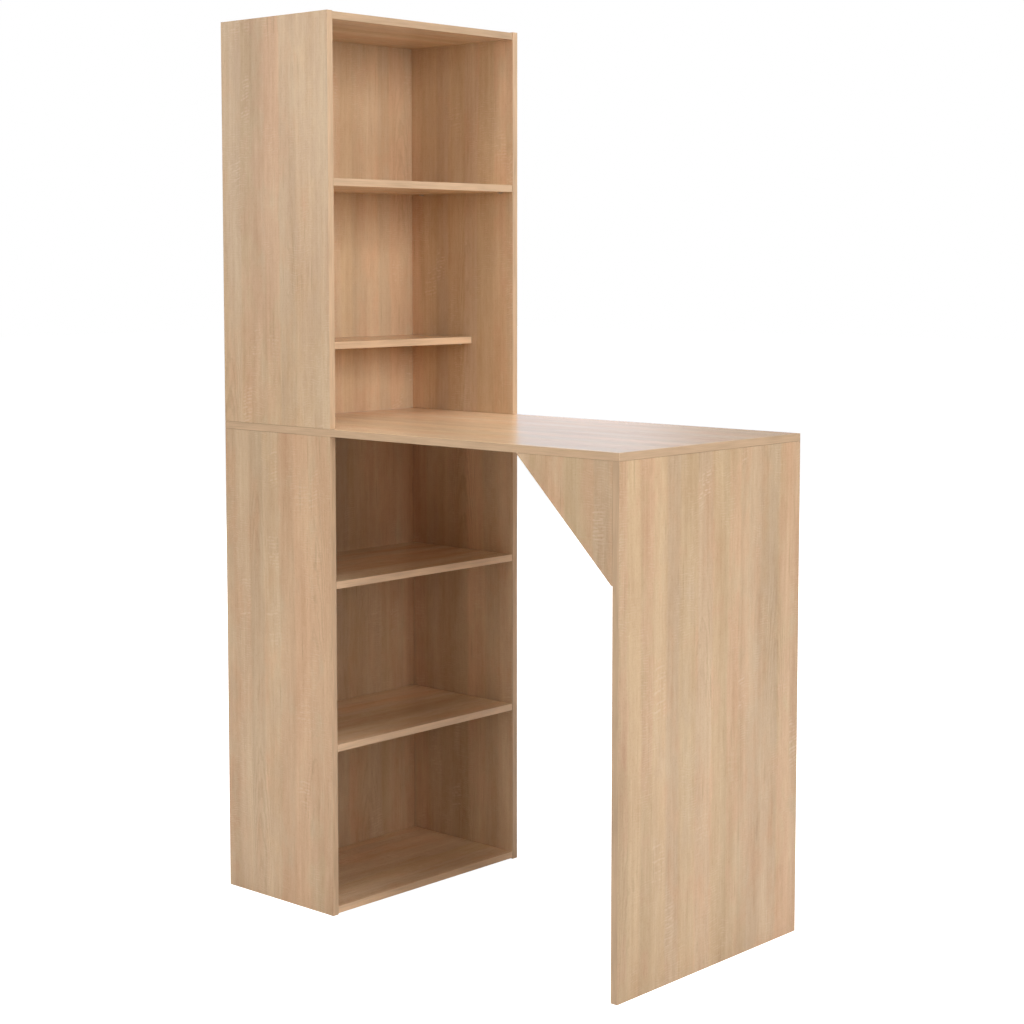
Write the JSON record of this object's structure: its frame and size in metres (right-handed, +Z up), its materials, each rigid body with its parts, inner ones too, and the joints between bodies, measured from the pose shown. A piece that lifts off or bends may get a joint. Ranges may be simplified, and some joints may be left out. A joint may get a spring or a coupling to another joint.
{
  "type": "bar counter",
  "caption": "Bar counter with a full-width leg panel and a corner brace, its board running through a tall open bookcase with loose shelves, in light oak decor board.",
  "frame": {"origin": "on the floor, under the middle of the counter's length and width", "axes": "+X along the counter from the bookcase to the leg, +Y across the width away from the brace, +Z up"},
  "size_m": [1.15, 0.6, 1.96],
  "materials": {
    "oak_decor_board": "satin melamine oak decor with fine fibres and short saw marks",
    "oak_decor_sheet": "thin fibreboard sheet, oak decor towards the shelves",
    "cam_zinc": "die-cast zinc, dull",
    "bolt_steel": "zinc-plated steel",
    "pin_nickel": "nickel-plated steel"
  },
  "bodies": {
    "carcass": {"bottom_board": "oak_decor_board", "bottom_bolt_front_left": "bolt_steel", "bottom_bolt_front_right": "bolt_steel", "bottom_bolt_rear_left": "bolt_steel", "bottom_bolt_rear_right": "bolt_steel", "bottom_cam_front_left": "cam_zinc", "bottom_cam_front_right": "cam_zinc", "bottom_cam_rear_left": "cam_zinc", "bottom_cam_rear_right": "cam_zinc", "brace_bolt_counter": "bolt_steel", "brace_bolt_leg": "bolt_steel", "brace_cam_counter": "cam_zinc", "brace_cam_leg": "cam_zinc", "corner_brace": "oak_decor_board", "counter_board": "oak_decor_board", "counter_tie_front_left": "cam_zinc", "counter_tie_front_right": "cam_zinc", "counter_tie_rear_left": "cam_zinc", "counter_tie_rear_right": "cam_zinc", "half_shelf_pin_front_left": "pin_nickel", "half_shelf_pin_front_right": "pin_nickel", "half_shelf_pin_rear_left": "pin_nickel", "half_shelf_pin_rear_right": "pin_nickel", "leg_bolt_left": "bolt_steel", "leg_bolt_right": "bolt_steel", "leg_cam_left": "cam_zinc", "leg_cam_right": "cam_zinc", "leg_panel": "oak_decor_board", "lower_back": "oak_decor_sheet", "lower_shelf_pin_front_left": "pin_nickel", "lower_shelf_pin_front_right": "pin_nickel", "lower_shelf_pin_rear_left": "pin_nickel", "lower_shelf_pin_rear_right": "pin_nickel", "lower_side_left": "oak_decor_board", "lower_side_right": "oak_decor_board", "middle_shelf_pin_front_left": "pin_nickel", "middle_shelf_pin_front_right": "pin_nickel", "middle_shelf_pin_rear_left": "pin_nickel", "middle_shelf_pin_rear_right": "pin_nickel", "top_board": "oak_decor_board", "top_bolt_front_left": "bolt_steel", "top_bolt_front_right": "bolt_steel", "top_bolt_rear_left": "bolt_steel", "top_bolt_rear_right": "bolt_steel", "top_cam_front_left": "cam_zinc", "top_cam_front_right": "cam_zinc", "top_cam_rear_left": "cam_zinc", "top_cam_rear_right": "cam_zinc", "upper_back": "oak_decor_sheet", "upper_shelf_pin_front_left": "pin_nickel", "upper_shelf_pin_front_right": "pin_nickel", "upper_shelf_pin_rear_left": "pin_nickel", "upper_shelf_pin_rear_right": "pin_nickel", "upper_side_left": "oak_decor_board", "upper_side_right": "oak_decor_board"},
    "lower_shelf": {"lower_shelf": "oak_decor_board"},
    "middle_shelf": {"middle_shelf": "oak_decor_board"},
    "half_shelf": {"half_shelf": "oak_decor_board"},
    "upper_shelf": {"upper_shelf": "oak_decor_board"}
  },
  "joints": [
    {"name": "lower_shelf_draw_out", "type": "slide", "parent": "carcass", "child": "lower_shelf", "axis": [1, 0, 0], "range_m": [0, 0.34]},
    {"name": "middle_shelf_draw_out", "type": "slide", "parent": "carcass", "child": "middle_shelf", "axis": [1, 0, 0], "range_m": [0, 0.34]},
    {"name": "half_shelf_draw_out", "type": "slide", "parent": "carcass", "child": "half_shelf", "axis": [1, 0, 0], "range_m": [0, 0.34]},
    {"name": "upper_shelf_draw_out", "type": "slide", "parent": "carcass", "child": "upper_shelf", "axis": [1, 0, 0], "range_m": [0, 0.34]}
  ]
}
